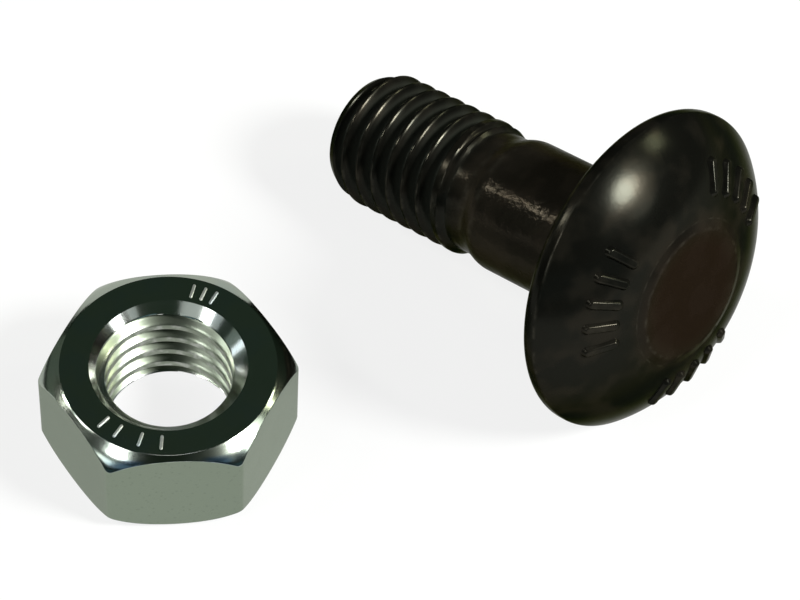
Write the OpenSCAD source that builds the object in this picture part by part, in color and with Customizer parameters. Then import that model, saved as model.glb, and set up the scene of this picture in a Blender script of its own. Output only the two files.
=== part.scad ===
// Dome head bolt lying on its side, with its hexagon nut lying flat beside it.
// Both pieces share one metric thread. Millimetres, +Z up, floor at Z = 0.

/* [Thread] */
// Nominal diameter of the thread on both pieces
thread_d = 12; // [8:0.5:14]
// Pitch, the advance for one turn
pitch = 1.75; // [1:0.05:2]
// Radius that the bolt's thread lies below the nominal one, its play in the nut
thread_play = 0.03; // [0:0.01:0.2]
// Threaded length, measured from the bolt's end
thread_len = 13.3; // [8:0.1:22]
// Bevel at the bolt's end, measured along the bolt
end_bevel = 1.5; // [0.6:0.1:2.5]
// Radius lost to the bevel at the bolt's end
end_drop = 0.8; // [0.3:0.05:1.5]

/* [Shank] */
// Length from the seat under the head to the bolt's end
under_head = 30.1; // [26:0.1:60]
// Diameter of the plain shank
shank_d = 11.9; // [11:0.1:14]
// Length of the unthreaded neck between thread and shank
neck_len = 2; // [0.3:0.1:3]
// Radius of the fillet between shank and head
seat_fillet = 0.8; // [0.2:0.1:2]

/* [Head] */
// Diameter of the head at its rim
head_d = 28; // [22:0.1:36]
// Height of the head from its seat to the top of its pad
head_h = 6.35; // [4.5:0.05:10]
// Height of the upright rim, its lower round included
rim_h = 1.5; // [1:0.1:2.5]
// Radius of the round on the rim's lower edge
rim_round = 0.9; // [0.2:0.1:1]
// Radius of the arc that the dome follows from rim to pad
dome_r = 12.3; // [9:0.1:40]
// Diameter of the flat pad in the middle of the dome
pad_d = 13.1; // [8:0.1:18]
// Height that the pad stands above the dome
pad_rise = 0.3; // [0.1:0.05:0.6]
// Bevel on the pad's edge
pad_bevel = 0.15; // [0.05:0.05:0.3]

/* [Nut] */
// Width across the flats of the nut
across_flats = 18.7; // [17:0.1:24]
// Width across the nut's corners, which are turned to a round
across_corners = 21.35; // [19.8:0.05:27]
// Height of the nut
nut_h = 9.85; // [6:0.05:14]
// Diameter of the flat ring on each face of the nut
nut_face_d = 17.8; // [15:0.1:18.9]
// Angle of the corner bevels, from the nut's face
nut_bevel = 40; // [20:1:45]
// Diameter of the hole inside the nut's thread
nut_bore = 10.43; // [10:0.01:10.8]
// Diameter of the countersink at each mouth of the nut
sink_d = 13; // [12.6:0.1:14.5]
// Angle of the countersink's wall, from the nut's face
sink_slope = 45; // [25:1:50]

/* [Layout] */
// Turn of the nut on the floor, seen from above
nut_turn = 185; // [0:1:359]
// Direction from the nut's axis to the bolt's end
lay_dir = 59.6; // [40:1:80]
// Clear distance between the nut's corners and the bolt's end
lay_gap = 16.1; // [10:0.1:30]
// Direction in which the bolt points, from its end to its head
bolt_dir = -42.3; // [-60:0.1:-20]
// Turn of the bolt about its own axis
bolt_spin = 100; // [0:5:355]

/* [Hidden] */
$fn = 96;

// Thread form: a 60 degree profile, its depths and widths as shares of the pitch
half_angle = 30;
bolt_depth = 0.6134 * pitch;
pitch_line = 0.3248 * pitch;
bolt_mouth = 0.875 * pitch;
nut_root = 0.125 * pitch;

// Where the grooves start, below the first full crest of the bolt and below the nut's lower face
bolt_start = end_bevel - 1.5 * pitch;
nut_start = -0.8 * pitch;

// How the grooves are cut: flat steps to a turn, turns over which the bolt's groove runs out,
// and how far the cutter stands past the surface that it opens
steps_per_turn = 24;
fade_turns = 0.75;
overshoot = 0.08;

// Radii of the bolt
crest_r = thread_d / 2 - thread_play;
neck_r = thread_d / 2 - pitch_line;
end_r = crest_r - end_drop;
shank_r = shank_d / 2;
head_r = head_d / 2;
pad_r = pad_d / 2;

// Stations along the bolt, from its end
neck_from = thread_len + crest_r - neck_r;
neck_to = neck_from + neck_len;
shank_from = neck_to + (shank_r - neck_r);
head_top = under_head + head_h;
rim_top = under_head + rim_h;

// Radii of the nut
bore_r = nut_bore / 2;
nut_depth = thread_d / 2 - bore_r;
nut_mouth = nut_root + 2 * nut_depth * tan(half_angle);
nut_face_r = nut_face_d / 2;
corner_r = across_corners / 2;
corner_drop = (corner_r - nut_face_r) * tan(nut_bevel);
sink_r = sink_d / 2;
sink_depth = (sink_r - bore_r) * tan(sink_slope);

// Points on an arc about c, from angle a to angle b
function arc(c, r, a, b, n = 8) =
    [for (i = [0:n]) let (t = a + (b - a) * i / n) c + r * [cos(t), sin(t)]];

// Points on an arc of radius r from p to q that bulges to the right of the way from p to q
function bulge(p, q, r, n = 16) =
    let (chord = q - p,
         half = norm(chord) / 2,
         side = [chord.y, -chord.x] / norm(chord),
         centre = (p + q) / 2 - side * sqrt(r * r - half * half),
         from = atan2(p.y - centre.y, p.x - centre.x),
         to = atan2(q.y - centre.y, q.x - centre.x))
    arc(centre, r, from, to, n);

// Half section of the bolt, as radius and distance from its end
bolt_outline = concat(
    [[0, 0], [end_r, 0], [crest_r, end_bevel], [crest_r, thread_len]],
    [[neck_r, neck_from], [neck_r, neck_to], [shank_r, shank_from]],
    arc([shank_r + seat_fillet, under_head - seat_fillet], seat_fillet, 180, 90),
    arc([head_r - rim_round, under_head + rim_round], rim_round, -90, 0),
    bulge([head_r, rim_top], [pad_r, head_top - pad_rise], dome_r),
    [[pad_r, head_top - pad_bevel], [pad_r - pad_bevel, head_top], [0, head_top]]
);

// Half section of the nut's blank, and of the hole through it
nut_outline = [
    [0, 0], [nut_face_r, 0], [corner_r, corner_drop],
    [corner_r, nut_h - corner_drop], [nut_face_r, nut_h], [0, nut_h]
];
hole_outline = [
    [0, -1], [sink_r, -1], [sink_r, 0], [bore_r, sink_depth],
    [bore_r, nut_h - sink_depth], [sink_r, nut_h], [sink_r, nut_h + 1], [0, nut_h + 1]
];

// The bolt leans until the rim's lower round and the first full crest both touch the floor
lean_run = under_head + rim_round - end_bevel;
lean_rise = head_r - rim_round - crest_r;
lean = atan2(lean_rise, lean_run) + asin(rim_round / norm([lean_run, lean_rise]));
end_height = crest_r * cos(lean) - end_bevel * sin(lean);

// Where the bolt's end lies from the nut's axis, and which way the bolt points
end_reach = corner_r + crest_r + lay_gap;
end_at = end_reach * [cos(lay_dir), sin(lay_dir)];
bolt_way = cos(lean) * [cos(bolt_dir), sin(bolt_dir)];

// Lowest and highest reach along floor axis k, so that the pair is centred on the origin
bolt_reach = [for (k = [0, 1]) [for (p = bolt_outline, s = [-1, 1])
    end_at[k] + p.y * bolt_way[k] + s * p.x * sqrt(1 - bolt_way[k] * bolt_way[k])]];
nut_reach = [for (k = [0, 1]) [for (c = [0:5])
    corner_r * [cos(nut_turn + 60 * c), sin(nut_turn + 60 * c)][k]]];
reach = [for (k = [0, 1]) concat(bolt_reach[k], nut_reach[k])];
middle = [for (k = [0, 1]) (min(reach[k]) + max(reach[k])) / 2];

// Solid swept along a right-hand helix that cuts one thread groove. It starts at height from,
// runs for the given turns and opens towards side: 1 opens outwards and -1 opens inwards.
// Over its last fade turns it draws back out of the material.
module groove(mouth_r, mouth_w, depth, side, from, turns, fade = 0) {
    flare = tan(half_angle);
    root_w = mouth_w - 2 * depth * flare;
    open_w = mouth_w + 2 * overshoot * flare;
    section = [
        [mouth_r + side * overshoot, -open_w / 2],
        [mouth_r + side * overshoot, open_w / 2],
        [mouth_r - side * depth, root_w / 2],
        [mouth_r - side * depth, -root_w / 2]
    ];
    steps = ceil(turns * steps_per_turn);
    rings = [for (i = [0:steps])
        let (turn = i / steps_per_turn,
             drawn = fade > 0 ? max(0, (turn - turns + fade) / fade) : 0,
             out = side * drawn * (depth + overshoot))
        for (p = section)
            [(p.x + out) * cos(360 * turn), (p.x + out) * sin(360 * turn), p.y + from + pitch * turn]];
    walls = [for (i = [0:steps - 1], k = [0:3])
        let (a = 4 * i + k, b = 4 * i + (k + 1) % 4)
        each side > 0 ? [[a, b, b + 4], [a, b + 4, a + 4]] : [[b, a, b + 4], [b + 4, a, a + 4]]];
    last = 4 * steps;
    caps = side > 0
        ? [[0, 3, 2], [0, 2, 1], [last, last + 1, last + 2], [last, last + 2, last + 3]]
        : [[0, 2, 3], [0, 1, 2], [last, last + 2, last + 1], [last, last + 3, last + 2]];
    polyhedron(points = rings, faces = concat(walls, caps), convexity = 10);
}

module bolt_upright() {
    turns = 1 + (thread_len - end_bevel) / pitch + fade_turns;
    difference() {
        rotate_extrude() polygon(bolt_outline);
        groove(crest_r, bolt_mouth, bolt_depth, 1, bolt_start, turns, fade_turns);
    }
}

module bolt() {
    color([0.13, 0.11, 0.09])
        translate([end_at.x - middle.x, end_at.y - middle.y, end_height])
        rotate([0, 90 - lean, bolt_dir])
        rotate([0, 0, bolt_spin])
        bolt_upright();
}

module nut() {
    turns = nut_h / pitch + 1.5;
    color([0.72, 0.74, 0.7])
        translate([-middle.x, -middle.y, 0])
        rotate([0, 0, nut_turn])
        difference() {
            intersection() {
                cylinder(h = nut_h, d = across_flats / cos(30), $fn = 6);
                rotate_extrude() polygon(nut_outline);
            }
            rotate_extrude() polygon(hole_outline);
            groove(bore_r, nut_mouth, nut_depth, -1, nut_start, turns);
        }
}

bolt();
nut();
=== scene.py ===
import math

import bpy
from mathutils import Matrix, Vector


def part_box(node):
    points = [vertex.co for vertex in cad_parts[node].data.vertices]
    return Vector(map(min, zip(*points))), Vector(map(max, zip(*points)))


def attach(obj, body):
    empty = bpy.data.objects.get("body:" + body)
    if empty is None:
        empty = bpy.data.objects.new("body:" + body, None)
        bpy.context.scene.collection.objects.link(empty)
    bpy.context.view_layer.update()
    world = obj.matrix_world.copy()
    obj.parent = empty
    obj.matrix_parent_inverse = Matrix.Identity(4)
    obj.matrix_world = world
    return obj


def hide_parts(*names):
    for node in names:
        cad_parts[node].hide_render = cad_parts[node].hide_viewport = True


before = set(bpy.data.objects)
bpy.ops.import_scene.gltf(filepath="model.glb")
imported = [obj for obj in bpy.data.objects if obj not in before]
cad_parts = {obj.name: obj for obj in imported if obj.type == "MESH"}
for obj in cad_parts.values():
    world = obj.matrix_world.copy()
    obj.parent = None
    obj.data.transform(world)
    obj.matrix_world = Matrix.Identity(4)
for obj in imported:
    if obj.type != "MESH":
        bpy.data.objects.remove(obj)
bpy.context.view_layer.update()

scene = bpy.context.scene
mm = 0.001

# Lengths are in millimetres where no note says otherwise. Points closer than weldGap are welded, and edges
# sharper than sharpFrom, in degrees, stay sharp.
weldGap = 0.002
sharpFrom = 32

# The metric thread that both pieces share. Its depth and widths are shares of its pitch.
thread = {
    "diameter": 12.0,
    "pitch": 1.75,
    "play": 0.03,
    "halfAngle": 30.0,
    "boltDepth": 0.6134,
    "boltMouth": 0.875,
    "pitchLine": 0.3248,
    "nutRoot": 0.125,
    "rowsPerPitch": 24,
}

flare = math.tan(math.radians(thread["halfAngle"]))
crestRadius = thread["diameter"] / 2 - thread["play"]
neckRadius = thread["diameter"] / 2 - thread["pitchLine"] * thread["pitch"]


# Sums in a node tree, written as short calls
class Sums:
    def __init__(self, tree):
        self.tree = tree

    def give(self, socket, value):
        if isinstance(value, bpy.types.NodeSocket):
            self.tree.links.new(value, socket)
        elif value is not None:
            socket.default_value = value

    def do(self, operation, *values):
        node = self.tree.nodes.new("ShaderNodeMath")
        node.operation = operation
        for socket, value in zip(node.inputs, values):
            self.give(socket, value)
        return node.outputs[0]

    def plus(self, a, b):
        return self.do("ADD", a, b)

    def minus(self, a, b):
        return self.do("SUBTRACT", a, b)

    def times(self, a, b):
        return self.do("MULTIPLY", a, b)

    def over(self, a, b):
        return self.do("DIVIDE", a, b)

    def least(self, a, b):
        return self.do("MINIMUM", a, b)

    def most(self, a, b):
        return self.do("MAXIMUM", a, b)

    # From 0 at low to 1 at high, smooth at both ends
    def ramp(self, value, low, high):
        node = self.tree.nodes.new("ShaderNodeMapRange")
        node.interpolation_type = "SMOOTHSTEP"
        self.give(node.inputs["Value"], value)
        self.give(node.inputs["From Min"], low)
        self.give(node.inputs["From Max"], high)
        return node.outputs["Result"]

    # From 1 at low to 0 at high
    def fall(self, value, low, high):
        return self.minus(1.0, self.ramp(value, low, high))

    def joined(self, x, y, z):
        node = self.tree.nodes.new("ShaderNodeCombineXYZ")
        for socket, value in zip(node.inputs, (x, y, z)):
            self.give(socket, value)
        return node.outputs[0]

    def parts(self, vector):
        node = self.tree.nodes.new("ShaderNodeSeparateXYZ")
        self.give(node.inputs[0], vector)
        return node.outputs


def addNode(tree, kind, values=None, **settings):
    node = tree.nodes.new(kind)
    for name, value in settings.items():
        setattr(node, name, value)
    for name, value in (values or {}).items():
        socket = node.inputs[name]
        if isinstance(value, bpy.types.NodeSocket):
            tree.links.new(value, socket)
        else:
            socket.default_value = value
    return node


# The sockets that a node shows for its present data type
def liveInput(node, name):
    return [i for i in node.inputs if i.name == name and i.enabled][0]


def liveOutput(node):
    return [o for o in node.outputs if o.enabled][0]


# A geometry tree with the named inputs. Without outputs of its own it takes a mesh in and gives one back.
def startTree(name, inputs, outputs=()):
    tree = bpy.data.node_groups.new(name, "GeometryNodeTree")
    if not outputs:
        tree.interface.new_socket("Geometry", in_out="INPUT", socket_type="NodeSocketGeometry")
        tree.interface.new_socket("Geometry", in_out="OUTPUT", socket_type="NodeSocketGeometry")
    for label, start in inputs.items():
        kind = {int: "NodeSocketInt", float: "NodeSocketFloat"}.get(type(start), "NodeSocketMaterial")
        socket = tree.interface.new_socket(label, in_out="INPUT", socket_type=kind)
        if kind != "NodeSocketMaterial":
            socket.default_value = start
    for label in outputs:
        tree.interface.new_socket(label, in_out="OUTPUT", socket_type="NodeSocketFloat")
    given = tree.nodes.new("NodeGroupInput").outputs
    result = tree.nodes.new("NodeGroupOutput").inputs
    return tree, given, result


# Height of the thread's wall above the groove's root at a point of the helix, and the groove's turn there
def grooveRise():
    names = ["Height", "Turn", "Start", "Pitch", "Root Width", "Flare", "Soft"]
    tree, given, result = startTree("grooveRise", {name: 0.0 for name in names}, ["Rise", "Turns"])
    s = Sums(tree)
    level = s.minus(given["Height"], s.times(given["Turn"], given["Pitch"]))
    steps = s.over(s.minus(level, given["Start"]), given["Pitch"])
    whole = s.do("ROUND", steps)
    away = s.times(s.do("ABSOLUTE", s.minus(steps, whole)), given["Pitch"])
    wall = s.over(s.minus(away, s.over(given["Root Width"], 2.0)), given["Flare"])
    tree.links.new(s.do("SMOOTH_MAX", 0.0, wall, given["Soft"]), result["Rise"])
    tree.links.new(s.plus(whole, given["Turn"]), result["Turns"])
    return tree


riseTree = grooveRise()


# The groove at a height and a turn, with the thread's sizes as they come into the tree
def addGroove(tree, given, height, turn, soft):
    values = {name: given[name] for name in ("Start", "Pitch", "Root Width")}
    values.update({"Height": height, "Turn": turn, "Flare": flare, "Soft": soft})
    return addNode(tree, "GeometryNodeGroup", values, node_tree=riseTree).outputs


# Grid whose fields say how far along it a point is, from 0 to 1 each way
def fieldGrid(tree, s, across, along):
    size = {"Size X": 1.0, "Size Y": 1.0, "Vertices X": across, "Vertices Y": along}
    grid = addNode(tree, "GeometryNodeMeshGrid", size)
    x, y = s.parts(addNode(tree, "GeometryNodeInputPosition").outputs[0])[:2]
    return grid.outputs["Mesh"], s.plus(x, 0.5), s.plus(y, 0.5)


# Height on a thread's rows, which climb by one pitch over a turn and stop at the piece's ends
def helixHeight(s, given, share, turn, top):
    row = s.do("ROUND", s.times(share, given["Thread Rows"]))
    climb = s.times(row, s.over(given["Pitch"], given["Rows per Pitch"]))
    level = s.plus(s.minus(given["Start"], given["Pitch"]), climb)
    return s.least(s.most(s.plus(level, s.times(turn, given["Pitch"])), 0.0), top)


def pointCount(tree, points):
    return addNode(tree, "GeometryNodeAttributeDomainSize", {"Geometry": points}).outputs["Point Count"]


def namedVector(tree, name):
    node = addNode(tree, "GeometryNodeInputNamedAttribute", {"Name": name}, data_type="FLOAT_VECTOR")
    return liveOutput(node)


# The three parts of a vector field at one of the points that come in
def sampled(tree, s, points, field, index):
    pick = addNode(tree, "GeometryNodeSampleIndex", {"Geometry": points}, data_type="FLOAT_VECTOR")
    s.give(liveInput(pick, "Value"), field)
    s.give(pick.inputs["Index"], index)
    return s.parts(liveOutput(pick))


def stored(tree, s, mesh, name, value, kind="FLOAT"):
    store = addNode(tree, "GeometryNodeStoreNamedAttribute", {"Geometry": mesh, "Name": name}, data_type=kind)
    s.give(liveInput(store, "Value"), value)
    return store.outputs[0]


# Sets the grid's points at a radius, an angle in turns and a height, and keeps that place, its wear and its
# dullness with painted shade
def setRound(tree, s, mesh, radius, turn, height, wear, dullShade):
    angle = s.times(turn, math.tau)
    place = s.joined(s.times(radius, s.do("COSINE", angle)), s.times(radius, s.do("SINE", angle)), height)
    mesh = stored(tree, s, mesh, "wear", wear)
    mesh = stored(tree, s, mesh, "dullShade", dullShade)
    mesh = stored(tree, s, mesh, "own", place, "FLOAT_VECTOR")
    return addNode(tree, "GeometryNodeSetPosition", {"Geometry": mesh, "Position": place}).outputs[0]


# Joins the meshes, welds their shared edges and hands the result over in metres
def endTree(tree, meshes, material, result):
    join = addNode(tree, "GeometryNodeJoinGeometry")
    for mesh in meshes:
        tree.links.new(mesh, join.inputs[0])
    weld = addNode(tree, "GeometryNodeMergeByDistance", {"Geometry": join.outputs[0], "Distance": weldGap})
    smooth = addNode(tree, "GeometryNodeSetShadeSmooth", {"Geometry": weld.outputs[0], "Shade Smooth": True})
    scale = addNode(tree, "GeometryNodeTransform", {"Geometry": smooth.outputs[0], "Scale": (mm, mm, mm)})
    real = addNode(tree, "GeometryNodeRealizeInstances", {"Geometry": scale.outputs[0]})
    paint = addNode(tree, "GeometryNodeSetMaterial", {"Geometry": real.outputs[0], "Material": material})
    tree.links.new(paint.outputs[0], result["Geometry"])


# Runs a tree on the points given and returns the result as a plain mesh object, in its place
def build(name, tree, points, values, place, vectors=None):
    source = bpy.data.meshes.new(name + "Source")
    source.from_pydata(points, [], [])
    for label, rows in (vectors or {}).items():
        layer = source.attributes.new(label, "FLOAT_VECTOR", "POINT")
        layer.data.foreach_set("vector", [value for row in rows for value in row])
    holder = bpy.data.objects.new(name + "Source", source)
    scene.collection.objects.link(holder)
    modifier = holder.modifiers.new("form", "NODES")
    modifier.node_group = tree
    ids = {i.name: i.identifier for i in tree.interface.items_tree if i.in_out == "INPUT"}
    for label, value in values.items():
        modifier[ids[label]] = value
    holder.update_tag()
    graph = bpy.context.evaluated_depsgraph_get()
    mesh = bpy.data.meshes.new_from_object(holder.evaluated_get(graph), depsgraph=graph)
    mesh.name = name
    bpy.data.objects.remove(holder)
    mesh.transform(place)
    mesh.set_sharp_from_angle(angle=math.radians(sharpFrom))
    piece = bpy.data.objects.new(name, mesh)
    scene.collection.objects.link(piece)
    print(name, len(mesh.polygons), "faces")
    return piece


# Shader group with the named values and a place as inputs
def startGroup(name, inputs, outputs):
    tree = bpy.data.node_groups.new(name, "ShaderNodeTree")
    for label, start in inputs.items():
        socket = tree.interface.new_socket(label, in_out="INPUT", socket_type="NodeSocketFloat")
        socket.default_value = start
    tree.interface.new_socket("Vector", in_out="INPUT", socket_type="NodeSocketVector")
    for label in outputs:
        tree.interface.new_socket(label, in_out="OUTPUT", socket_type="NodeSocketFloat")
    given = tree.nodes.new("NodeGroupInput").outputs
    result = tree.nodes.new("NodeGroupOutput").inputs
    return tree, given, result


# Fine unevenness of a finished steel surface, as a height and two masks
def unevenTree():
    inputs = {"Scale": 1.0, "Broad Scale": 0.3, "Pits": 0.2}
    tree, given, result = startGroup("unevenSteel", inputs, ["Height", "Broad", "Pits"])
    s = Sums(tree)
    place, scale, broadScale = given["Vector"], given["Scale"], given["Broad Scale"]
    fine = addNode(tree, "ShaderNodeTexNoise", {"Vector": place, "Scale": scale, "Detail": 4.0})
    broad = addNode(tree, "ShaderNodeTexNoise", {"Vector": place, "Scale": broadScale, "Detail": 2.0})
    cells = addNode(tree, "ShaderNodeTexVoronoi", {"Vector": place, "Scale": scale, "Randomness": 1.0})
    pits = s.times(s.fall(cells.outputs["Distance"], 0.05, 0.3), given["Pits"])
    grain = s.plus(s.times(fine.outputs["Fac"], 0.6), s.times(broad.outputs["Fac"], 1.6))
    tree.links.new(s.minus(grain, pits), result["Height"])
    tree.links.new(broad.outputs["Fac"], result["Broad"])
    tree.links.new(pits, result["Pits"])
    return tree


# Where edges and thread crests are rubbed, broken up by a noise
def rubbedTree():
    tree, given, result = startGroup("rubbedEdges", {"Wear": 0.0, "Amount": 0.5, "Scale": 2.0}, ["Mask"])
    s = Sums(tree)
    place, scale = given["Vector"], given["Scale"]
    noise = addNode(tree, "ShaderNodeTexNoise", {"Vector": place, "Scale": scale, "Detail": 5.0})
    broken = s.ramp(noise.outputs["Fac"], 0.42, 0.68)
    tree.links.new(s.times(s.times(given["Wear"], broken), given["Amount"]), result["Mask"])
    return tree


unevenSteel = unevenTree()
rubbedEdges = rubbedTree()


def colourMix(tree, share, first, second):
    s = Sums(tree)
    node = addNode(tree, "ShaderNodeMix", data_type="RGBA")
    for name, value in (("Factor", share), ("A", first), ("B", second)):
        s.give(liveInput(node, name), value)
    return liveOutput(node)


# A value that the form left on its surface
def leftOn(tree, name):
    return addNode(tree, "ShaderNodeAttribute", attribute_name=name).outputs["Fac"]


# Starts a steel material and gives the place on the piece, its unevenness and its rubbed mask
def startSteel(name, finish):
    material = bpy.data.materials.new(name)
    material.use_nodes = True
    tree = material.node_tree
    own = addNode(tree, "ShaderNodeAttribute", attribute_name="own").outputs["Vector"]
    uneven = addNode(tree, "ShaderNodeGroup", {"Vector": own, **finish["uneven"]}, node_tree=unevenSteel)
    rubValues = {"Vector": own, "Wear": leftOn(tree, "wear"), **finish["rub"]}
    rub = addNode(tree, "ShaderNodeGroup", rubValues, node_tree=rubbedEdges)
    return material, tree, own, uneven.outputs, rub.outputs["Mask"]


# Distance from the piece's axis, and height along it
def fromAxis(s, own):
    x, y, z = s.parts(own)
    return s.do("SQRT", s.plus(s.times(x, x), s.times(y, y))), z


# Links a steel's colour, with its rubbed places, and its fine relief
def finishSteel(tree, surface, finish, colour, rub, height):
    tree.links.new(colourMix(tree, rub, colour, finish["rubbed"]), surface["Base Color"])
    surface["Specular Tint"].default_value = finish["edgeTint"]
    relief = {"Height": height, "Strength": finish["grainStrength"], "Distance": finish["grainDepth"] * mm}
    tree.links.new(addNode(tree, "ShaderNodeBump", relief).outputs[0], surface["Normal"])


print("shared trees ready")

# The nut lies flat on the floor, turned as in the photograph
nut = {
    "acrossFlats": 18.7,
    "acrossCorners": 21.35,
    "height": 9.85,
    "face": 17.8,
    "bevel": 40.0,
    "bevelStart": 33.0,
    "bevelStraight": 0.6,
    "bore": 10.43,
    "sink": 13.0,
    "sinkSlope": 45.0,
    "leadIn": 0.8,
    "edgeRound": 0.14,
    "cornerSoft": 0.3,
    "turnedSoft": 0.12,
    "sinkSoft": 0.12,
    "rootSoft": 0.12,
    "crestSoft": 0.2,
    "crestRub": (0.02, 0.14),
    # The bevels' share below also sets how much painted shade they take; the four values after it place the
    # front corners' painted blue reflection
    "bevelDull": 0.8,
    "tintFront": (0.80, 0.92),
    "tintCorner": (11, 18),
    "tintFrom": 0.5,
    "tintGrowth": 4,
    "columnsPerSide": 36,
    "turn": 185.0,
}

nutLow, nutHigh = (Vector(corner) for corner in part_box("nut"))
nutAxis = Vector(((nutLow.x + nutHigh.x) / 2, (nutLow.y + nutHigh.y) / 2, 0))
nutMatrix = Matrix.Translation(nutAxis) @ Matrix.Rotation(math.radians(nut["turn"]), 4, "Z")


# The nut: a hexagon whose rows follow its bevels, and a threaded hole whose rows follow the helix
def nutTree():
    inputs = {"Columns per Side": 36, "Thread Rows": 160, "Rows per Pitch": 24, "Half Flats": 9.35,
              "Corner": 10.7, "Face": 8.9, "Bevel Fall": 0.7, "Bevel Straight": 0.9, "Bevel Curve": 0.3,
              "Height": 9.85, "Bore": 5.2, "Sink": 6.5, "Sink Fall": 1.0, "Major": 6.0, "Pitch": 1.75,
              "Root Width": 0.22, "Start": -1.4, "Corner Soft": 0.3, "Soft": 0.1, "Material": None}
    tree, given, result = startTree("nutForm", inputs)
    s = Sums(tree)
    across = s.plus(s.times(given["Columns per Side"], 6.0), 1.0)
    half = s.over(given["Height"], 2.0)

    # Columns stand closer together towards the corners
    def cornered(share):
        sixth = s.times(share, 6.0)
        whole = s.do("FLOOR", sixth)
        swing = s.do("SINE", s.times(s.minus(s.times(s.minus(sixth, whole), 2.0), 1.0), math.pi / 2))
        turn = s.over(s.plus(s.plus(whole, 0.5), s.times(swing, 0.5)), 6.0)
        return turn, s.times(s.do("ABSOLUTE", swing), math.pi / 6)

    count = pointCount(tree, given["Geometry"])
    mesh, share, up = fieldGrid(tree, s, across, count)
    turn, swing = cornered(share)
    side = s.over(given["Half Flats"], s.do("COSINE", swing))
    nextSide = s.over(given["Half Flats"], s.do("COSINE", s.minus(math.pi / 3, swing)))
    hexagon = s.do("SMOOTH_MIN", side, nextSide, given["Corner Soft"])
    reach = s.do("SMOOTH_MIN", hexagon, given["Corner"], nut["turnedSoft"])
    row = s.do("ROUND", s.times(up, s.minus(count, 1.0)))

    def rowValue(field):
        return sampled(tree, s, given["Geometry"], field, row)

    out, base, level = rowValue(addNode(tree, "GeometryNodeInputPosition").outputs[0])
    shiftOut, shiftUp, wear = rowValue(namedVector(tree, "shift"))
    dullShade, paintedBlue = rowValue(namedVector(tree, "finish"))[:2]
    spread = s.times(out, s.minus(reach, given["Face"]))
    radius = s.plus(s.plus(base, spread), shiftOut)
    curved = s.most(s.minus(spread, given["Bevel Straight"]), 0.0)
    bend = s.times(s.times(curved, curved), given["Bevel Curve"])
    drop = s.plus(s.times(spread, given["Bevel Fall"]), bend)
    height = s.plus(half, s.plus(s.times(level, s.minus(half, drop)), shiftUp))
    # The two front corners' bevels get a painted blue reflection towards their lower edge
    frontSide = s.ramp(s.do("SINE", s.times(turn, math.tau)), *nut["tintFront"])
    nearCorner = s.ramp(swing, *(math.radians(angle) for angle in nut["tintCorner"]))
    mesh = stored(tree, s, mesh, "paintedBlueReflection", s.times(s.times(paintedBlue, frontSide), nearCorner))
    shell = setRound(tree, s, mesh, radius, turn, height, wear, dullShade)

    mesh, share, up = fieldGrid(tree, s, across, s.plus(given["Thread Rows"], 1.0))
    turn = cornered(share)[0]
    height = helixHeight(s, given, up, turn, given["Height"])
    toFace = s.least(height, s.minus(given["Height"], height))
    sink = s.minus(given["Sink"], s.over(toFace, given["Sink Fall"]))
    hole = s.do("SMOOTH_MAX", sink, given["Bore"], nut["sinkSoft"])
    groove = addGroove(tree, given, height, turn, nut["rootSoft"])
    cut = s.minus(given["Major"], groove["Rise"])
    radius = s.do("SMOOTH_MAX", hole, cut, given["Soft"])
    wear = s.fall(s.minus(radius, given["Bore"]), *nut["crestRub"])
    wall = setRound(tree, s, mesh, radius, turn, height, wear, 0.0)
    turned = addNode(tree, "GeometryNodeFlipFaces", {"Mesh": wall})
    endTree(tree, [shell, turned.outputs[0]], given["Material"], result)
    return tree


# Pairs, here and in blackFinish, say where a change starts and where it is complete
zincFinish = {
    "bright": (0.76, 0.78, 0.74, 1),
    "bluish": (0.62, 0.70, 0.76, 1),
    "bluishShare": 0.6,
    "bluishPatches": (0.42, 0.66),
    # The sides' colour below is painted shade: darker zinc standing in for the dim floor that the sides
    # reflect
    "dullShade": (0.205, 0.245, 0.19, 1),
    "speck": (0.13, 0.16, 0.12, 1),
    # Painted shade: the thread inside the hole takes this darker colour
    "bore": (0.235, 0.268, 0.212, 1),
    "borePastSink": (0.05, 0.3),
    "boreWithin": (6.15, 6.35),
    # A painted blue reflection on the front corners' bevels, in patches
    "blue": (0.10, 0.18, 0.27, 1),
    "blueShare": 0.95,
    "bluePatches": (0.32, 0.48),
    "edgeTint": (0.72, 0.74, 0.70, 1),
    "rubbed": (0.86, 0.86, 0.84, 1),
    "rub": {"Amount": 0.3, "Scale": 1.4},
    "uneven": {"Scale": 2.0, "Broad Scale": 0.3, "Pits": 0.4},
    "roughness": 0.09,
    "unevenRoughness": 0.08,
    "sideDull": (0.75, 1.0),
    "sideRoughness": 0.12,
    "boreRoughness": 0.16,
    "markRoughness": 0.35,
    "grainStrength": 0.5,
    "grainDepth": 0.006,
}


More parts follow.
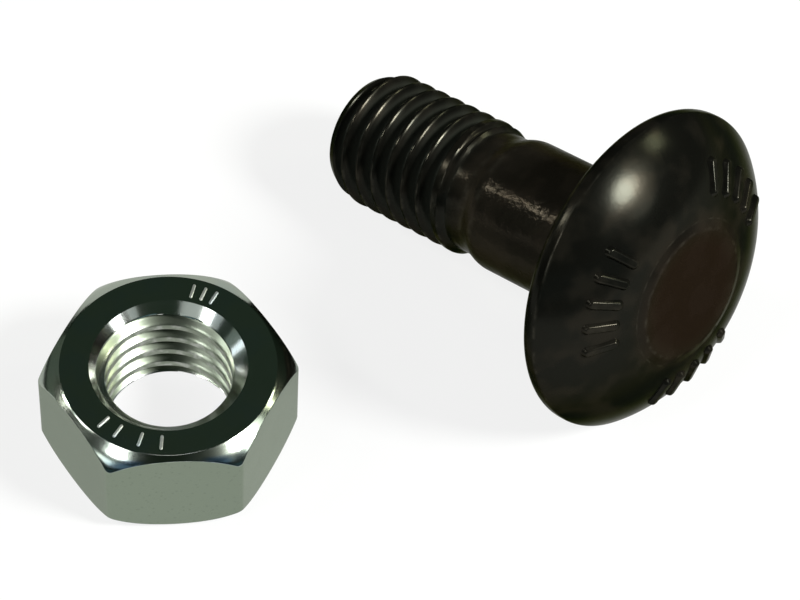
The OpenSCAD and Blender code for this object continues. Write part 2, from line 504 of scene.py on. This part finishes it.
def zincSteel():
    material, tree, own, uneven, rub = startSteel("zincSteel", zincFinish)
    s = Sums(tree)
    surface = tree.nodes["Principled BSDF"].inputs
    dullShade = leftOn(tree, "dullShade")
    patches = s.ramp(uneven["Broad"], *zincFinish["bluishPatches"])
    bluish = s.times(patches, zincFinish["bluishShare"])
    colour = colourMix(tree, bluish, zincFinish["bright"], zincFinish["bluish"])
    # Sides and bevels are painted darker as painted shade, with real specks from the pits
    side = colourMix(tree, uneven["Pits"], zincFinish["dullShade"], zincFinish["speck"])
    colour = colourMix(tree, dullShade, colour, side)
    # Painted blue reflection on the front corners' bevels, in patches
    edge = s.times(leftOn(tree, "paintedBlueReflection"), zincFinish["blueShare"])
    paintedBlue = s.times(edge, s.ramp(uneven["Broad"], *zincFinish["bluePatches"]))
    colour = colourMix(tree, paintedBlue, colour, zincFinish["blue"])
    # The thread inside the hole is a little rougher than the countersinks, and its colour is a little darker
    # as painted shade inside the hole
    out, z = fromAxis(s, own)
    toFace = s.least(z, s.minus(nut["height"], z))
    past = (nut["sink"] / 2 + beyond for beyond in zincFinish["borePastSink"])
    bore = s.times(s.ramp(s.plus(out, toFace), *past), s.fall(out, *zincFinish["boreWithin"]))
    colour = colourMix(tree, bore, colour, zincFinish["bore"])
    surface["Metallic"].default_value = 1.0
    rough = s.plus(zincFinish["roughness"], s.times(uneven["Broad"], zincFinish["unevenRoughness"]))
    onSide = s.ramp(dullShade, *zincFinish["sideDull"])
    rough = s.plus(rough, s.times(onSide, zincFinish["sideRoughness"]))
    inBore = s.times(bore, zincFinish["boreRoughness"])
    onMark = s.times(leftOn(tree, "mark"), zincFinish["markRoughness"])
    s.give(surface["Roughness"], s.plus(rough, s.plus(inBore, onMark)))
    finishSteel(tree, surface, zincFinish, colour, rub, uneven["Height"])
    return material


def makeNut():
    pitch = thread["pitch"]
    faceRadius, sinkRadius = nut["face"] / 2, nut["sink"] / 2
    # The bevel starts flatter than its mean angle and curves down to the same end
    toCorner = nut["acrossCorners"] / 2 - faceRadius
    bevelFall = math.tan(math.radians(nut["bevelStart"]))
    extra = toCorner * (math.tan(math.radians(nut["bevel"])) - bevelFall)
    bevelCurve = extra / (toCorner - nut["bevelStraight"]) ** 2
    softness = nut["edgeRound"]
    bevelDull = nut["bevelDull"]
    # A row is its share of the way from face ring to side, the radius it starts from and its level, with a
    # small shift and its wear, and with how much dullness and painted shade it has and how much painted blue
    # reflection
    rows, shifts, finishes = [], [], []

    def add(share, base, level, out=0.0, up=0.0, wear=0.0, dullShade=0.0, paintedBlue=0.0):
        rows.append((share, base, level))
        shifts.append((out, up, wear))
        finishes.append((dullShade, paintedBlue, 0))

    # Round between two directions of travel, both as angles in the half section
    def softCorner(share, base, turnFrom, turnTo, dullFrom, dullTo, paintedBlue=0.0, steps=4):
        bend = turnFrom - turnTo
        reach = softness * math.tan(abs(bend) / 2)
        way = Vector((math.cos(turnFrom), math.sin(turnFrom)))
        side = Vector((math.sin(turnFrom), -math.cos(turnFrom)))
        spot = -way * reach
        centre = spot + side * softness
        for i in range(steps + 1):
            place = centre + Matrix.Rotation(-bend * i / steps, 2) @ (spot - centre)
            wear = 1 - abs(2 * i / steps - 1)
            dullShade = dullFrom + (dullTo - dullFrom) * i / steps
            add(share, base, 1.0, place.x, place.y, wear, dullShade, paintedBlue * (1 - i / steps))

    add(0, sinkRadius, 1.0)
    add(0, sinkRadius + 0.15, 1.0)
    add(0, (sinkRadius + faceRadius) / 2, 1.0)
    bevelWay = -math.radians(nut["bevel"])
    softCorner(0, faceRadius, 0.0, bevelWay, 0.0, bevelDull)
    # The bevels take most of the sides' painted shade; towards the front corners' lower edge they also get a
    # painted blue reflection
    for share in (0.15, 0.3, 0.42, 0.52, 0.6, 0.68, 0.76, 0.84, 0.92):
        paintedBlue = min(1, max(0, (share - nut["tintFrom"]) * nut["tintGrowth"]))
        add(share, faceRadius, 1.0, dullShade=bevelDull, paintedBlue=paintedBlue)
    softCorner(1, faceRadius, bevelWay, -math.pi / 2, bevelDull, 1.0, 1.0)
    # The upright sides take the full painted shade
    for level in (0.9, 0.75, 0.5, 0.25):
        add(1, faceRadius, level, dullShade=1.0)
    upper = list(zip(rows, shifts, finishes))
    add(1, faceRadius, 0.0, dullShade=1.0)
    # The lower half mirrors the upper one
    for (share, base, level), (out, up, wear), finish in reversed(upper):
        rows.append((share, base, -level))
        shifts.append((out, -up, wear))
        finishes.append(finish)
    for column in (rows, shifts, finishes):
        column.reverse()
    start = -nut["leadIn"] * pitch
    values = {
        "Columns per Side": nut["columnsPerSide"],
        "Rows per Pitch": thread["rowsPerPitch"],
        "Thread Rows": math.ceil((nut["height"] - start + pitch) / pitch * thread["rowsPerPitch"]),
        "Half Flats": nut["acrossFlats"] / 2,
        "Corner": nut["acrossCorners"] / 2,
        "Face": faceRadius,
        "Bevel Fall": bevelFall,
        "Bevel Straight": nut["bevelStraight"],
        "Bevel Curve": bevelCurve,
        "Height": nut["height"],
        "Bore": nut["bore"] / 2,
        "Sink": sinkRadius,
        "Sink Fall": math.tan(math.radians(nut["sinkSlope"])),
        "Major": thread["diameter"] / 2,
        "Pitch": pitch,
        "Root Width": thread["nutRoot"] * pitch,
        "Start": start,
        "Corner Soft": nut["cornerSoft"],
        "Soft": nut["crestSoft"],
        "Material": zinc,
    }
    return build("zincNut", nutTree(), rows, values, nutMatrix, {"shift": shifts, "finish": finishes})


# The bolt lies on its rim and its first full thread crest, pointing as in the photograph
bolt = {
    "threadLength": 13.3,
    "endBevel": 1.5,
    "endDrop": 0.8,
    "underHead": 30.1,
    "shank": 11.9,
    "neck": 2.0,
    "neckRound": 3.0,
    "neckBelow": 0.2,
    "neckAbove": 1.2,
    "seamShare": 0.6,
    "seatFillet": 0.8,
    "head": 28.0,
    "headHeight": 6.35,
    "rimHeight": 1.5,
    "rimRound": 0.9,
    "rimEdge": 0.55,
    "domeRadius": 12.3,
    "domeRows": 40,
    "pad": 13.1,
    "padRise": 0.3,
    "padEdge": 1.2,
    "padSlope": 0.8,
    "leadIn": 1.5,
    "fadeTurns": 0.75,
    "runOutPast": 0.12,
    "bevelSoft": 0.25,
    "rootSoft": 0.3,
    "crestSoft": 0.16,
    "rubDepth": 0.18,
    "rubRamp": 0.16,
    "columns": 192,
    "capRows": 5,
    "direction": -42.3,
    "spin": 100.0,
    "gapFromNut": 16.1,
    "layDirection": 59.6,
}


# Where the bolt's threaded end lies, which way it points and how it is turned
def boltPlace(axis):
    run = bolt["underHead"] + bolt["rimRound"] - bolt["endBevel"]
    rise = headRadius - bolt["rimRound"] - crestRadius
    lean = math.atan2(rise, run) + math.asin(bolt["rimRound"] / math.hypot(run, rise))
    reach = nut["acrossCorners"] / 2 + crestRadius + bolt["gapFromNut"]
    lay = math.radians(bolt["layDirection"])
    height = crestRadius * math.cos(lean) - bolt["endBevel"] * math.sin(lean)
    end = axis + Vector((reach * math.cos(lay), reach * math.sin(lay), height)) * mm
    direction = Matrix.Rotation(math.radians(bolt["direction"]), 4, "Z")
    turn = direction @ Matrix.Rotation(math.pi / 2 - lean, 4, "Y")
    return Matrix.Translation(end) @ turn @ Matrix.Rotation(math.radians(bolt["spin"]), 4, "Z")


# Centre of an arc of the given radius from start to end, which bulges to the right of the way between them
def arcCentre(start, end, radius):
    chord = end - start
    half = chord.length / 2
    side = Vector((chord.y, -chord.x)).normalized()
    return (start + end) / 2 - side * math.sqrt(radius ** 2 - half ** 2)


headTop = bolt["underHead"] + bolt["headHeight"]
headRadius = bolt["head"] / 2
padRadius = bolt["pad"] / 2
rimTop = bolt["underHead"] + bolt["rimHeight"]
domeFrom = Vector((headRadius, rimTop))
domeTo = Vector((padRadius, headTop - bolt["padRise"]))
domeCentre = arcCentre(domeFrom, domeTo, bolt["domeRadius"])
boltMatrix = boltPlace(nutAxis)


# Point at a share of the dome's arc from rim to pad, and the way out from the dome there
def onDome(share):
    first, last = domeFrom - domeCentre, domeTo - domeCentre
    angle = math.atan2(first.y, first.x)
    angle += (math.atan2(last.y, last.x) - angle) * share
    way = Vector((math.cos(angle), math.sin(angle)))
    return domeCentre + way * bolt["domeRadius"], way


# A line of corners as (x, y, radius): each corner is turned to a round of its radius
def rounded(corners, steps):
    line = []
    for k, (x, y, radius) in enumerate(corners):
        here = Vector((x, y))
        if radius == 0 or k in (0, len(corners) - 1):
            line.append((x, y, 0.0))
            continue
        before = (Vector(corners[k - 1][:2]) - here).normalized()
        after = (Vector(corners[k + 1][:2]) - here).normalized()
        opening = before.angle(after)
        reach = radius / math.tan(opening / 2)
        centre = here + (before + after).normalized() * (radius / math.sin(opening / 2))
        first = here + before * reach - centre
        last = here + after * reach - centre
        swing = first.angle_signed(last)
        for i in range(steps + 1):
            spot = centre + Matrix.Rotation(-swing * i / steps, 2) @ first
            line.append((spot.x, spot.y, 1.0 - abs(2 * i / steps - 1)))
    return line


threadSizes = ("Pitch", "Crest", "Depth", "Root Width", "Start", "Last Turn", "Fade", "Tip", "Bevel",
               "Length", "Neck", "Soft")


# Radius of the bolt's threaded end at a height and a turn, with the groove's run-out
def threadedEnd():
    names = ("Height", "Turn") + threadSizes
    tree, given, result = startTree("threadedEnd", {name: 0.0 for name in names}, ["Radius", "Wear"])
    s = Sums(tree)
    height, crest = given["Height"], given["Crest"]
    bevel = s.plus(given["Tip"], s.times(s.over(s.minus(crest, given["Tip"]), given["Bevel"]), height))
    neck = s.most(given["Neck"], s.minus(crest, s.minus(height, given["Length"])))
    blank = s.least(s.do("SMOOTH_MIN", bevel, crest, bolt["bevelSoft"]), neck)
    groove = addGroove(tree, given, height, given["Turn"], bolt["rootSoft"])
    fadeFrom = s.minus(given["Last Turn"], given["Fade"])
    drawn = s.over(s.minus(groove["Turns"], fadeFrom), given["Fade"])
    out = s.times(s.most(drawn, 0.0), s.plus(given["Depth"], bolt["runOutPast"]))
    floor = s.plus(s.minus(crest, given["Depth"]), s.plus(out, groove["Rise"]))
    radius = s.do("SMOOTH_MIN", blank, floor, given["Soft"])
    tree.links.new(radius, result["Radius"])
    nearCrest = s.ramp(s.minus(radius, s.minus(crest, bolt["rubDepth"])), 0.0, bolt["rubRamp"])
    tree.links.new(nearCrest, result["Wear"])
    return tree


# The bolt: a threaded end whose rows follow the helix, a cap, and a body turned from the profile given
def boltTree():
    inputs = {"Columns": 192, "Thread Rows": 240, "Rows per Pitch": 24, "Pitch": 1.75, "Crest": 6.0,
              "Depth": 1.07, "Root Width": 0.3, "Start": 0.0, "Last Turn": 8.0, "Fade": 0.75, "Tip": 5.2,
              "Bevel": 1.5, "Length": 13.0, "Neck": 5.4, "Top": 14.0, "Soft": 0.1, "Material": None}
    tree, given, result = startTree("boltForm", inputs)
    s = Sums(tree)
    across = s.plus(given["Columns"], 1.0)
    shape = threadedEnd()

    def radiusAt(height, turn):
        node = addNode(tree, "GeometryNodeGroup", node_tree=shape)
        for name in threadSizes:
            tree.links.new(given[name], node.inputs[name])
        s.give(node.inputs["Height"], height)
        s.give(node.inputs["Turn"], turn)
        return node.outputs["Radius"], node.outputs["Wear"]

    mesh, turn, share = fieldGrid(tree, s, across, s.plus(given["Thread Rows"], 1.0))
    height = helixHeight(s, given, share, turn, given["Top"])
    radius, wear = radiusAt(height, turn)
    threaded = setRound(tree, s, mesh, radius, turn, height, wear, 0.0)

    mesh, turn, share = fieldGrid(tree, s, across, bolt["capRows"])
    radius = radiusAt(0.0, turn)[0]
    cap = setRound(tree, s, mesh, s.times(radius, s.do("SQRT", share)), turn, 0.0, 0.0, 0.0)

    count = pointCount(tree, given["Geometry"])
    mesh, turn, share = fieldGrid(tree, s, across, count)
    row = s.do("ROUND", s.times(share, s.minus(count, 1.0)))
    place = addNode(tree, "GeometryNodeInputPosition").outputs[0]
    out, wear, height = sampled(tree, s, given["Geometry"], place, row)
    body = setRound(tree, s, mesh, out, turn, height, wear, 0.0)
    endTree(tree, [threaded, cap, body], given["Material"], result)
    return tree


blackFinish = {
    "brown": (0.026, 0.0218, 0.0160, 1),
    "green": (0.0123, 0.0124, 0.0100, 1),
    # A paler colour painted into the thread's grooves as painted light that lifts their shade
    "paintedGrooveLight": (0.024, 0.026, 0.021, 1),
    "pad": (0.0145, 0.0098, 0.0070, 1),
    "shankPastThread": 3.0,
    "shankWithin": (6.5, 9.0),
    "shankIntoHead": 1.5,
    "padBelowTop": (1.5, 0.3),
    "padWithin": (-2.5, 1.0),
    "recessWithin": (5.15, 5.8),
    "recessPastThread": 1.0,
    "recessFromEnd": (0.4, 1.2),
    "patches": (0.42, 0.66),
    "placeShare": 0.7,
    "patchShare": 0.4,
    "edgeTint": (0.42, 0.43, 0.38, 1),
    "rubbed": (0.07, 0.065, 0.05, 1),
    "rub": {"Amount": 0.3, "Scale": 1.1},
    "uneven": {"Scale": 2.2, "Broad Scale": 0.33, "Pits": 0.1},
    "metallic": 0.74,
    "lessOnBrown": 0.36,
    "lessInRecess": 0.7,
    "roughness": 0.165,
    "unevenRoughness": 0.08,
    "shankSmoother": 0.03,
    "shankGrain": 8.0,
    "grainStrength": 0.6,
    "grainDepth": 0.012,
}


def blackSteel():
    material, tree, own, uneven, rub = startSteel("blackSteel", blackFinish)
    s = Sums(tree)
    surface = tree.nodes["Principled BSDF"].inputs
    out, z = fromAxis(s, own)
    threadTo, headFrom = bolt["threadLength"], bolt["underHead"]
    # The shank, from where the thread ends up to the head, and the pad on the dome are browner
    pastThread = s.ramp(z, threadTo, threadTo + blackFinish["shankPastThread"])
    onShank = s.times(pastThread, s.fall(out, *blackFinish["shankWithin"]))
    onShank = s.times(onShank, s.fall(z, headFrom, headFrom + blackFinish["shankIntoHead"]))
    atTop = s.ramp(z, *(headTop - below for below in blackFinish["padBelowTop"]))
    onPad = s.times(atTop, s.fall(out, *(padRadius + past for past in blackFinish["padWithin"])))
    patches = s.ramp(uneven["Broad"], *blackFinish["patches"])
    placed = s.times(s.most(onShank, onPad), blackFinish["placeShare"])
    brownness = s.least(s.plus(placed, s.times(patches, blackFinish["patchShare"])), 1.0)
    colour = colourMix(tree, brownness, blackFinish["green"], blackFinish["brown"])
    colour = colourMix(tree, onPad, colour, blackFinish["pad"])
    # Painted light in the grooves of the thread: a paler, less metallic colour lifts their shade
    onThread = s.fall(z, threadTo, threadTo + blackFinish["recessPastThread"])
    paintedGrooveLight = s.times(s.fall(out, *blackFinish["recessWithin"]), onThread)
    paintedGrooveLight = s.times(paintedGrooveLight, s.ramp(z, *blackFinish["recessFromEnd"]))
    colour = colourMix(tree, paintedGrooveLight, colour, blackFinish["paintedGrooveLight"])
    bare = s.minus(blackFinish["metallic"], s.times(brownness, blackFinish["lessOnBrown"]))
    clean = s.minus(1.0, s.times(paintedGrooveLight, blackFinish["lessInRecess"]))
    s.give(surface["Metallic"], s.times(bare, clean))
    surface["Specular IOR Level"].default_value = 0.0
    rough = s.plus(blackFinish["roughness"], s.times(uneven["Broad"], blackFinish["unevenRoughness"]))
    s.give(surface["Roughness"], s.minus(rough, s.times(onShank, blackFinish["shankSmoother"])))
    forged = s.times(uneven["Height"], s.plus(1.0, s.times(onShank, blackFinish["shankGrain"])))
    finishSteel(tree, surface, blackFinish, colour, rub, forged)
    return material


# The bolt's half section past the thread, as (radius, height, wear)
def boltProfile(top, neckTo):
    shankRadius = bolt["shank"] / 2
    rimLow = bolt["underHead"] + bolt["rimRound"]
    line = rounded([
        (neckRadius, top, 0),
        (neckRadius, neckTo - bolt["neckBelow"], bolt["neckRound"]),
        (shankRadius, neckTo + bolt["neckAbove"], bolt["neckRound"]),
        (shankRadius, bolt["underHead"], bolt["seatFillet"]),
        (headRadius, bolt["underHead"], bolt["rimRound"]),
        (headRadius, rimTop, 0),
    ], 8)[:-1]
    # The rim's upper edge is a small round between the upright rim and the dome
    rimRow = rounded([
        (headRadius, rimLow, 0),
        (headRadius, rimTop, bolt["rimEdge"]),
        (*onDome(0.1)[0], 0),
    ], 6)[1:-1]
    line += rimRow
    shareFrom = (Vector(rimRow[-1][:2]) - domeFrom).length / (domeTo - domeFrom).length
    steps = bolt["domeRows"]
    for i in range(1, steps):
        spot = onDome(shareFrom + (1 - shareFrom) * i / steps)[0]
        line.append((spot.x, spot.y, 0.0))
    line += rounded([
        (*onDome(1 - 1 / steps)[0], 0),
        (*domeTo, bolt["padEdge"]),
        (padRadius - bolt["padSlope"], headTop, bolt["padEdge"]),
        (0, headTop, 0),
    ], 5)[1:-1]
    return line + [(padRadius * share, headTop, 0.0) for share in (0.82, 0.6, 0.3, 0.0)]


def makeBolt():
    pitch = thread["pitch"]
    depth = thread["boltDepth"] * pitch
    neckFrom = bolt["threadLength"] + crestRadius - neckRadius
    top = neckFrom + bolt["seamShare"] * bolt["neck"]
    start = bolt["endBevel"] - bolt["leadIn"] * pitch
    values = {
        "Columns": bolt["columns"],
        "Thread Rows": math.ceil((top - start + pitch) / pitch * thread["rowsPerPitch"]),
        "Rows per Pitch": thread["rowsPerPitch"],
        "Pitch": pitch,
        "Crest": crestRadius,
        "Depth": depth,
        "Root Width": thread["boltMouth"] * pitch - 2 * depth * flare,
        "Start": start,
        "Last Turn": 1 + (bolt["threadLength"] - bolt["endBevel"]) / pitch + bolt["fadeTurns"],
        "Fade": bolt["fadeTurns"],
        "Tip": crestRadius - bolt["endDrop"],
        "Bevel": bolt["endBevel"],
        "Length": bolt["threadLength"],
        "Neck": neckRadius,
        "Top": top,
        "Soft": bolt["crestSoft"],
        "Material": black,
    }
    points = [(radius, wear, height) for radius, height, wear in boltProfile(top, neckFrom + bolt["neck"])]
    return build("blackBolt", boltTree(), points, values, boltMatrix)


# Small raised marks with sloped sides, one on each point that comes in, set by the vectors facing and along
def markTree():
    inputs = {"Columns": 48, "Length": 2.0, "Width": 0.8, "Height": 0.4, "Slope": 0.3, "Sink": 0.3,
              "Material": None}
    tree, given, result = startTree("raisedMarks", inputs)
    s = Sums(tree)
    # The rows run from the buried foot up the slope to the flat top, which closes at the last one
    footRow, topRow, lastRow = 2.0, 9.0, 12.0
    evenWear = 0.35
    mesh, turn, share = fieldGrid(tree, s, s.plus(given["Columns"], 1.0), int(lastRow) + 1)
    angle = s.times(s.plus(turn, s.over(0.5, given["Columns"])), math.tau)
    row = s.do("ROUND", s.times(share, lastRow))
    climb = s.ramp(row, footRow, topRow)
    upSlope = s.times(s.minus(row, footRow), 1.0 / (topRow - footRow))
    slopeWidth = s.times(given["Slope"], s.minus(1.0, upSlope))
    bodyWidth = s.plus(s.over(given["Width"], 2.0), s.most(slopeWidth, 0.0))
    reach = s.times(bodyWidth, s.times(s.ramp(row, -1.0, 1.0), s.fall(row, topRow, lastRow + 0.5)))
    reach = s.times(reach, s.minus(1.0, s.do("GREATER_THAN", row, lastRow - 0.5)))
    reach = s.times(reach, s.do("GREATER_THAN", row, 0.5))
    height = s.minus(s.times(climb, s.plus(given["Height"], given["Sink"])), given["Sink"])
    cosine = s.do("COSINE", angle)
    x = s.plus(s.times(s.do("SIGN", cosine), s.over(given["Length"], 2.0)), s.times(reach, cosine))
    place = s.joined(x, s.times(reach, s.do("SINE", angle)), height)
    formed = addNode(tree, "GeometryNodeSetPosition", {"Geometry": mesh, "Position": place}).outputs[0]
    closed = {"Geometry": formed, "Distance": weldGap / 2}
    formed = addNode(tree, "GeometryNodeMergeByDistance", closed).outputs[0]
    up = addNode(tree, "FunctionNodeAlignRotationToVector", {"Vector": namedVector(tree, "facing")}, axis="Z")
    turned = {"Rotation": up.outputs[0], "Vector": namedVector(tree, "along")}
    along = addNode(tree, "FunctionNodeAlignRotationToVector", turned, axis="X", pivot_axis="Z")
    spread = {"Points": given["Geometry"], "Instance": formed, "Rotation": along.outputs[0]}
    each = addNode(tree, "GeometryNodeInstanceOnPoints", spread)
    mesh = addNode(tree, "GeometryNodeRealizeInstances", {"Geometry": each.outputs[0]}).outputs[0]
    here = addNode(tree, "GeometryNodeInputPosition").outputs[0]
    mesh = stored(tree, s, mesh, "wear", evenWear)
    mesh = stored(tree, s, mesh, "mark", 1.0)
    mesh = stored(tree, s, mesh, "own", here, "FLOAT_VECTOR")
    endTree(tree, [mesh], given["Material"], result)
    return tree


marksTree = markTree()


# The mark tree's values from a group of marks' own dictionary
def markValues(marks, material):
    sizes = {name: marks[name.lower()] for name in ("Columns", "Length", "Width", "Height", "Slope", "Sink")}
    return {**sizes, "Material": material}


# Groups of plain bars round the dome: each group's direction and the step from bar to bar are in degrees
domeMarks = {
    "groups": (-120.0, 0.0, 120.0),
    "bars": 5,
    "step": 12.0,
    "share": 0.62,
    "columns": 40,
    "length": 2.3,
    "width": 0.45,
    "height": 0.28,
    "slope": 0.5,
    "sink": 0.3,
}


def makeDomeMarks():
    spot, way = onDome(domeMarks["share"])
    points, facing, along = [], [], []
    for group in domeMarks["groups"]:
        for k in range(domeMarks["bars"]):
            turn = math.radians(group - bolt["spin"] + (k - (domeMarks["bars"] - 1) / 2) * domeMarks["step"])
            points.append((spot.x * math.cos(turn), spot.x * math.sin(turn), spot.y))
            facing.append((way.x * math.cos(turn), way.x * math.sin(turn), way.y))
            along.append((-way.y * math.cos(turn), -way.y * math.sin(turn), way.x))
    values = markValues(domeMarks, black)
    return build("domeMarks", marksTree, points, values, boltMatrix, {"facing": facing, "along": along})


# Plain strokes on the nut's upper face, which point away from its axis in these directions
nutMarks = {
    "strokes": (229, 240, 255, 268, 63, 70, 77),
    "radius": 7.65,
    "columns": 32,
    "length": 1.1,
    "width": 0.16,
    "height": 0.12,
    "slope": 0.1,
    "sink": 0.1,
}


def makeNutMarks():
    turns = [math.radians(angle - nut["turn"]) for angle in nutMarks["strokes"]]
    radius = nutMarks["radius"]
    points = [(radius * math.cos(turn), radius * math.sin(turn), nut["height"]) for turn in turns]
    facing = [(0, 0, 1) for turn in turns]
    along = [(math.cos(turn), math.sin(turn), 0) for turn in turns]
    values = markValues(nutMarks, zinc)
    return build("nutMarks", marksTree, points, values, nutMatrix, {"facing": facing, "along": along})


black = blackSteel()
zinc = zincSteel()
print("materials ready")

for piece, nodes, slot in ((makeBolt(), ["bolt"], "black_steel"), (makeNut(), ["nut"], "zinc_steel"),
                           (makeDomeMarks(), [], "black_steel"), (makeNutMarks(), [], "zinc_steel")):
    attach(piece, "root")
    if nodes:
        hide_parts(*nodes)
print("pieces ready")

# The floor and the lamps' distance are in metres
studio = {
    "floorSize": 5.0,
    "floorDrop": 0.00002,
    "floorColour": (0.83, 0.835, 0.83, 1),
    "floorRoughness": 0.9,
    "floorGlow": 0.82,
    "roomColour": (0.0145, 0.0245, 0.0160, 1),
    "aimHeight": 0.008,
    "distance": 0.9,
}

# Each lamp: azimuth and elevation it stands at, its width and height in metres, its radiance and its colour
lamps = {
    "keyLamp": (-21, 44, 0.225, 0.225, 82.0, (1.0, 1.0, 0.98)),
    "glowLamp": (-13, 43, 0.40, 0.40, 2.4, (0.97, 1.0, 0.86)),
    "softLamp": (19, 36, 0.17, 0.17, 13.0, (0.98, 1.0, 0.74)),
    "edgeLamp": (166, 34, 0.08, 0.08, 60.0, (1.0, 0.98, 0.92)),
    "lowLamp": (168, 12, 0.14, 0.14, 1.4, (0.92, 0.98, 1.0)),
    "rightGlow": (181, 48, 0.22, 0.22, 8.0, (0.98, 1.0, 0.98)),
    "leftLamp": (219, 30, 0.20, 0.12, 3.5, (0.98, 1.0, 1.0)),
    "glintLamp": (222, 48, 0.19, 0.19, 12.0, (1.0, 1.0, 1.0)),
    "lowCard": (158, 15, 0.9, 0.25, 0.16, (0.85, 1.0, 0.85)),
    "topLamp": (0, 89.9, 0.26, 0.26, 1.2, (1.0, 1.0, 1.0)),
    "sinkLamp": (-20, 28, 0.22, 0.22, 4.0, (0.95, 1.0, 0.98)),
    "blueCard": (-84, 17, 2.1, 0.24, 0.13, (0.45, 0.85, 1.0)),
    "sinkLeftCard": (-133, 32, 0.80, 0.20, 0.44, (0.92, 1.0, 0.97)),
    "sinkFrontCard": (-43, 32, 0.16, 0.14, 0.32, (0.90, 1.0, 0.96)),
}


def makeFloor():
    size = studio["floorSize"] / 2
    mesh = bpy.data.meshes.new("floor")
    corners = [(-size, -size, 0), (size, -size, 0), (size, size, 0), (-size, size, 0)]
    mesh.from_pydata(corners, [], [(0, 1, 2, 3)])
    floor = bpy.data.objects.new("floor", mesh)
    floor.location.z = -studio["floorDrop"]
    scene.collection.objects.link(floor)
    material = bpy.data.materials.new("paleFloor")
    material.use_nodes = True
    tree = material.node_tree
    surface = tree.nodes["Principled BSDF"]
    surface.inputs["Base Color"].default_value = studio["floorColour"]
    surface.inputs["Roughness"].default_value = studio["floorRoughness"]
    surface.inputs["Specular IOR Level"].default_value = 0.0
    # A plain white glow lifts the floor to the photograph's white ground and leaves the shadow on it
    path = tree.nodes.new("ShaderNodeLightPath").outputs
    s = Sums(tree)
    seen = s.most(s.most(path["Is Camera Ray"], path["Is Glossy Ray"]), path["Is Transmission Ray"])
    glow = addNode(tree, "ShaderNodeEmission", {"Strength": 1.0})
    mixed = addNode(tree, "ShaderNodeMixShader", {"Fac": s.times(seen, studio["floorGlow"])})
    tree.links.new(surface.outputs[0], mixed.inputs[1])
    tree.links.new(glow.outputs[0], mixed.inputs[2])
    tree.links.new(mixed.outputs[0], tree.nodes["Material Output"].inputs["Surface"])
    mesh.materials.append(material)


def makeRoom():
    world = bpy.data.worlds.new("room")
    scene.world = world
    world.use_nodes = True
    world.node_tree.nodes["Background"].inputs["Color"].default_value = studio["roomColour"]
    middle = Vector((0, 0, studio["aimHeight"]))
    for name, (azimuth, elevation, width, height, radiance, colour) in lamps.items():
        data = bpy.data.lights.new(name, "AREA")
        data.shape = "ELLIPSE" if width == height else "RECTANGLE"
        data.size, data.size_y = width, height
        area = width * height * (math.pi / 4 if width == height else 1)
        data.energy = radiance * math.pi * area
        data.color = colour
        lamp = bpy.data.objects.new(name, data)
        turn, rise = math.radians(azimuth), math.radians(elevation)
        way = Vector((math.cos(turn) * math.cos(rise), math.sin(turn) * math.cos(rise), math.sin(rise)))
        lamp.location = middle + way * studio["distance"]
        lamp.rotation_euler = way.to_track_quat("Z", "Y").to_euler()
        scene.collection.objects.link(lamp)


# The camera stands where the photograph was taken from, measured from the nut's axis on the floor
view = {
    "lens": 163.17,
    "sensor": 36,
    "nearest": 0.01,
    "right": (0.9993, 0.0, 0.0375),
    "down": (0.02202, -0.80941, -0.58683),
    "forward": (0.03035, 0.58725, -0.80884),
    "from": (9.794, -169.584, 253.098),
}


def makeCamera():
    data = bpy.data.cameras.new("camera")
    data.sensor_width = view["sensor"]
    data.lens = view["lens"]
    data.clip_start = view["nearest"]
    camera = bpy.data.objects.new("camera", data)
    right, down, forward = (Vector(view[name]) for name in ("right", "down", "forward"))
    matrix = Matrix((right, -down, -forward)).transposed().to_4x4()
    matrix.translation = nutAxis + Vector(view["from"]) * mm
    camera.matrix_world = matrix
    scene.collection.objects.link(camera)
    scene.camera = camera


makeFloor()
makeRoom()
makeCamera()
scene.view_settings.view_transform = "Standard"
print("studio ready")
